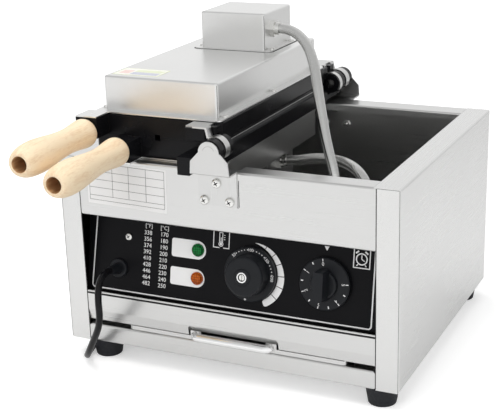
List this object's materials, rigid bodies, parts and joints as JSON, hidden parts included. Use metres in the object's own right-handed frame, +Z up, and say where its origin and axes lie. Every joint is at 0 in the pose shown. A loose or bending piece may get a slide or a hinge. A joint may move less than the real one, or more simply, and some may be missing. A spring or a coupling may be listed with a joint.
{
  "type": "waffle_stick_maker",
  "caption": "Countertop waffle-on-a-stick maker: open steel case, turn-over hinged cast moulds with wooden handles, leaning black control panel, drip tray and mains lead.",
  "frame": {"origin": "on the table, under the middle of the steel case, feet, handles and moulds together", "axes": "+Z up; -Y towards the person at the control panel; -X towards the wooden handles"},
  "size_m": [0.37, 0.5633, 0.347],
  "materials": {
    "steel": "bright satin stainless sheet",
    "panel_black": "satin black panel with white marks",
    "rubber_black": "matte black rubber",
    "zinc": "bright plated steel",
    "chrome": "polished chrome",
    "housing_grey": "plain grey housing",
    "housing_white": "plain white terminal block",
    "lens_green": "clear green lens",
    "lens_orange": "clear orange lens",
    "gland_black": "satin black plastic",
    "conduit_metal": "satin metal conduit",
    "lead_black": "smooth black cable sheath",
    "knob_black": "fine satin black plastic",
    "mould_black": "black non-stick coating on cast metal",
    "wood": "pale turned beech, lightly oiled"
  },
  "bodies": {
    "case": {"left_side_panel": "steel", "right_side_panel": "steel", "front_band": "steel", "rear_panel": "steel", "base_pan": "steel", "lower_rail": "steel", "front_strip": "steel", "panel_ledge": "steel", "control_panel": "panel_black", "compartment_shield": "steel", "tray_runners": "steel", "feet": "rubber_black", "foot_screws": "zinc", "front_hinge_bracket": "steel", "rear_hinge_bracket": "steel", "bracket_screws": "zinc", "hinge_pins": "zinc", "thermostat": "housing_grey", "timer": "housing_grey", "power_lamp": "lens_green", "heat_lamp": "lens_orange", "panel_screw": "zinc", "terminal_block": "housing_white", "cable_gland": "gland_black", "gland_nut": "gland_black", "deck_glands": "zinc", "upper_conduit_tail": "conduit_metal", "lower_conduit": "conduit_metal", "mains_lead": "lead_black", "lead_coil": "lead_black", "lead_tail": "lead_black", "plug": "gland_black", "plug_pins": "zinc"},
    "tray": {"drip_tray": "steel", "tray_handle": "chrome"},
    "temperature_dial": {"temperature_knob": "knob_black", "knob_ring": "chrome", "temperature_shaft": "zinc"},
    "timer_dial": {"timer_knob": "knob_black", "timer_shaft": "zinc"},
    "lower_half": {"lower_mould": "mould_black", "lower_heater": "zinc", "lower_cover": "steel", "lower_cover_screws": "zinc", "lower_wiring_box": "steel", "lower_ferrule": "zinc", "lower_handle_rod": "zinc", "lower_handle": "wood"},
    "upper_half": {"upper_mould": "mould_black", "upper_heater": "zinc", "upper_cover": "steel", "upper_cover_screws": "zinc", "upper_wiring_box": "steel", "upper_ferrule": "zinc", "hinge_straps": "steel", "upper_handle_rod": "zinc", "upper_handle": "wood", "upper_conduit": "conduit_metal"}
  },
  "joints": [
    {"name": "flip", "type": "hinge", "parent": "case", "child": "lower_half", "pos_m": [0, 0, 0.2485], "axis": [0, 1, 0], "range_deg": [0, 180], "deforming": ["upper_conduit_tail", "lower_conduit"]},
    {"name": "lid", "type": "hinge", "parent": "lower_half", "child": "upper_half", "pos_m": [0, 0, 0.2485], "axis": [0, 1, 0], "range_deg": [0, 180], "deforming": ["upper_conduit"]},
    {"name": "tray_slide", "type": "slide", "parent": "case", "child": "tray", "axis": [0, -1, 0], "range_m": [0, 0.2]},
    {"name": "temperature_turn", "type": "hinge", "parent": "case", "child": "temperature_dial", "pos_m": [0.0255, -0.0893, 0.1168], "axis": [0, -0.9848, 0.1736], "range_deg": [-290, 0]},
    {"name": "timer_turn", "type": "hinge", "parent": "case", "child": "timer_dial", "pos_m": [0.1055, -0.0891, 0.1178], "axis": [0, -0.9848, 0.1736], "range_deg": [-270, 0]}
  ]
}
